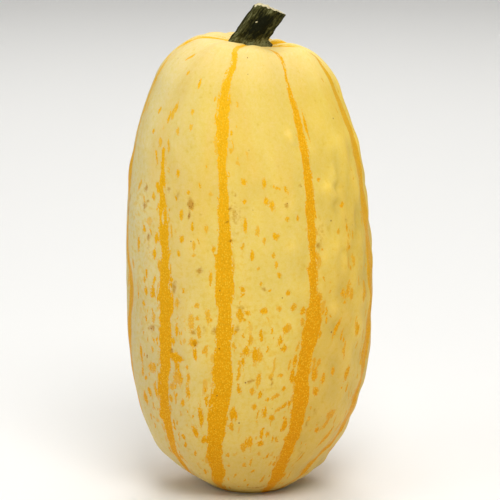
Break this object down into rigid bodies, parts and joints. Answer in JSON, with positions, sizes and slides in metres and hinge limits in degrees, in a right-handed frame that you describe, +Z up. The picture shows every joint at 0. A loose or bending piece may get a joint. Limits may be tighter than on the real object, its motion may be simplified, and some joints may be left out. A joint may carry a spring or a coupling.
{
  "type": "spaghetti squash",
  "caption": "Tall barrel-shaped winter squash, pale yellow with orange stripes in shallow grooves and a cut stem, standing on its blossom end.",
  "frame": {"origin": "centre of the flat spot at the blossom end, on which the fruit rests", "axes": "+Z up through the fruit towards the stem, -Y towards the front, +X to the right, the side that the stem leans to"},
  "size_m": [0.1299, 0.1291, 0.2573],
  "materials": {
    "rind": "hard waxy rind, satin, pale yellow with ragged orange stripes, orange flecks and a few olive bruises",
    "stem": "dry fibrous stalk, dark green to grey-green, matt, with a cream cut end"
  },
  "bodies": {
    "root": {"fruit": "rind", "stem": "stem"}
  },
  "joints": []
}
